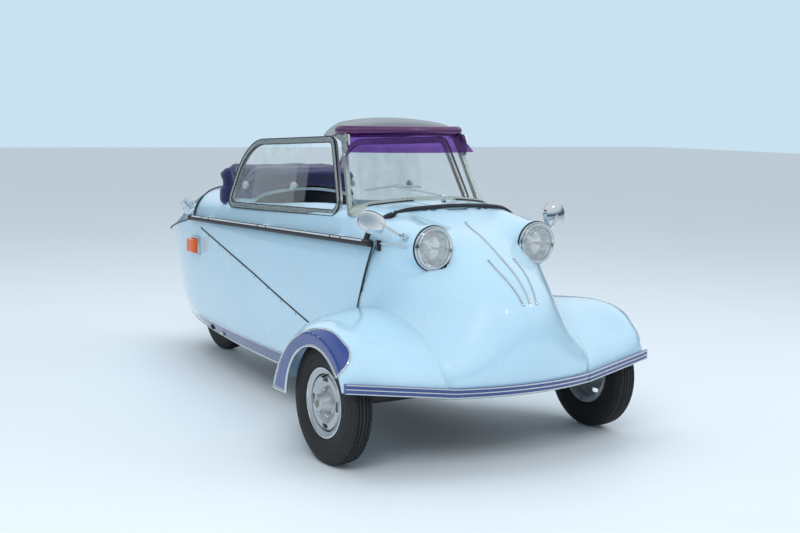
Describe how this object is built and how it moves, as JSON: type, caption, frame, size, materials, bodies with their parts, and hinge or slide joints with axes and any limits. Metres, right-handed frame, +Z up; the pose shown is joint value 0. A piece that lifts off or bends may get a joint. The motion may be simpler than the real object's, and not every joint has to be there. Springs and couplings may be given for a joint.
{
  "type": "three-wheeled tandem bubble car",
  "caption": "Three-wheeled tandem bubble car with a side-hinged open-top canopy, folded hood, spatted front wings and one driven rear wheel",
  "frame": {"origin": "on the floor under the middle of the car's box, on the centre line, with the tyres standing on Z = 0", "axes": "+X to the car's left, +Y to the rear (the nose points to -Y), +Z up"},
  "size_m": [1.256, 2.822, 1.1273],
  "materials": {
    "body_paint": "gloss",
    "dark_trim": "satin",
    "window_trim": "satin",
    "window_alloy": "satin",
    "dome_alloy": "brushed",
    "clear_glass": "gloss",
    "tinted_sheet": "gloss",
    "chrome_trim": "polished",
    "wheel_steel": "satin",
    "tyre_rubber": "matte",
    "chassis_paint": "satin",
    "cast_metal": "rough",
    "red_upholstery": "satin",
    "navy_cloth": "matte",
    "bumper_paint": "gloss",
    "amber_lens": "gloss",
    "red_lens": "gloss"
  },
  "bodies": {
    "body": {"nose_shell": "body_paint", "side_panels": "body_paint", "tail_shell": "body_paint", "tail_deck": "body_paint", "wings": "body_paint", "belt_rails": "dark_trim", "front_axle": "chassis_paint", "rear_arm": "chassis_paint", "floor_pan": "chassis_paint", "bulkhead": "chassis_paint", "dash": "body_paint", "rear_frame": "chassis_paint", "engine_block": "cast_metal", "silencer": "chassis_paint", "seat_front": "red_upholstery", "seat_rear": "red_upholstery", "seat_frames": "chassis_paint", "headlamps": "chrome_trim", "headlamp_glass": "clear_glass", "mirrors": "chrome_trim", "bumper_strip": "bumper_paint", "indicators": "amber_lens", "tail_lamps": "red_lens", "filler_cap": "chrome_trim"},
    "canopy": {"canopy_ring": "body_paint", "screen_frame": "window_trim", "screen_glass": "clear_glass", "window_frames": "window_alloy", "window_panes": "clear_glass", "roof_header": "dome_alloy", "sun_visor": "tinted_sheet", "wiper": "chrome_trim", "folded_hood": "navy_cloth"},
    "handlebar": {"handlebar": "chassis_paint"},
    "knuckle_left": {"knuckle_left": "chassis_paint"},
    "knuckle_right": {"knuckle_right": "chassis_paint"},
    "wheel_front_left": {"rim_front_left": "wheel_steel", "tyre_front_left": "tyre_rubber"},
    "wheel_front_right": {"rim_front_right": "wheel_steel", "tyre_front_right": "tyre_rubber"},
    "wheel_rear": {"rim_rear": "wheel_steel", "tyre_rear": "tyre_rubber"}
  },
  "joints": [
    {"name": "canopy_hinge", "type": "hinge", "parent": "body", "child": "canopy", "pos_m": [-0.285, 0.74, 0.661], "axis": [-0.0342, -0.9991, 0.0264], "range_deg": [0, 80]},
    {"name": "steer_right", "type": "hinge", "parent": "body", "child": "knuckle_right", "pos_m": [-0.448, -1.055, 0.205], "axis": [0, 0, 1], "range_deg": [-26, 26]},
    {"name": "steer_left", "type": "hinge", "parent": "body", "child": "knuckle_left", "pos_m": [0.448, -1.055, 0.205], "axis": [0, 0, 1], "range_deg": [-26, 26]},
    {"name": "handlebar_turn", "type": "hinge", "parent": "body", "child": "handlebar", "pos_m": [0, -1, 0.26], "axis": [0, 0.7568, 0.6536], "range_deg": [-26, 26]},
    {"name": "wheel_spin_front_right", "type": "hinge", "parent": "knuckle_right", "child": "wheel_front_right", "pos_m": [-0.552, -1.055, 0.205], "axis": [1, 0, 0], "continuous": true},
    {"name": "wheel_spin_front_left", "type": "hinge", "parent": "knuckle_left", "child": "wheel_front_left", "pos_m": [0.552, -1.055, 0.205], "axis": [1, 0, 0], "continuous": true},
    {"name": "wheel_spin_rear", "type": "hinge", "parent": "body", "child": "wheel_rear", "pos_m": [0, 0.972, 0.205], "axis": [1, 0, 0], "continuous": true}
  ],
  "couplings": [
    {"joint": "steer_left", "follows": "steer_right", "ratio": 1},
    {"joint": "handlebar_turn", "follows": "steer_right", "ratio": 1}
  ]
}
